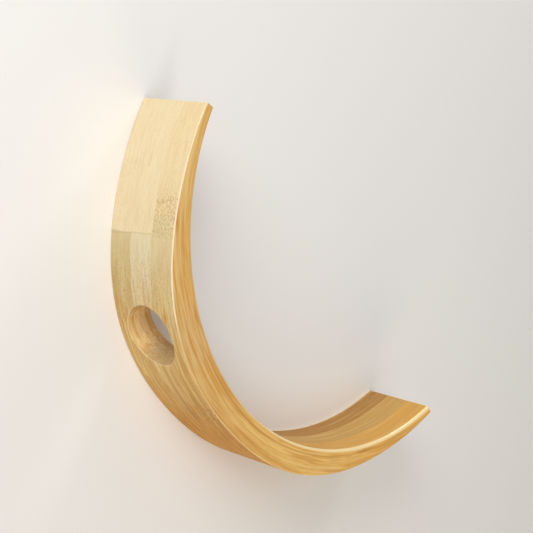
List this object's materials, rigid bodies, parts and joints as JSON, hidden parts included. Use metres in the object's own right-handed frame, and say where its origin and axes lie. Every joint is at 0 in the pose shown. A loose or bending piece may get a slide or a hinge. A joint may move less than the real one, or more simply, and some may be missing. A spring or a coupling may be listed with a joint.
{
  "type": "balancing wine bottle holder",
  "caption": "Laminated bamboo crescent, thick in the middle and thin at both ends, with a round hole through its upper part that takes a bottle's neck, so that the two balance.",
  "frame": {"origin": "middle of the bounding box in plan, on the lower flat side, on which the holder lies at rest", "axes": "+Y is up in use, +X points from the hole's side to the open side, where a held bottle's base is, and +Z runs across the width, from the lower side to the upper one. In use the holder stands on the outer curve's lowest line, with -Y down"},
  "size_m": [0.2414, 0.2292, 0.054],
  "materials": {
    "bamboo": "satin clear lacquer"
  },
  "bodies": {
    "root": {"crescent_holder": "bamboo"}
  },
  "joints": []
}
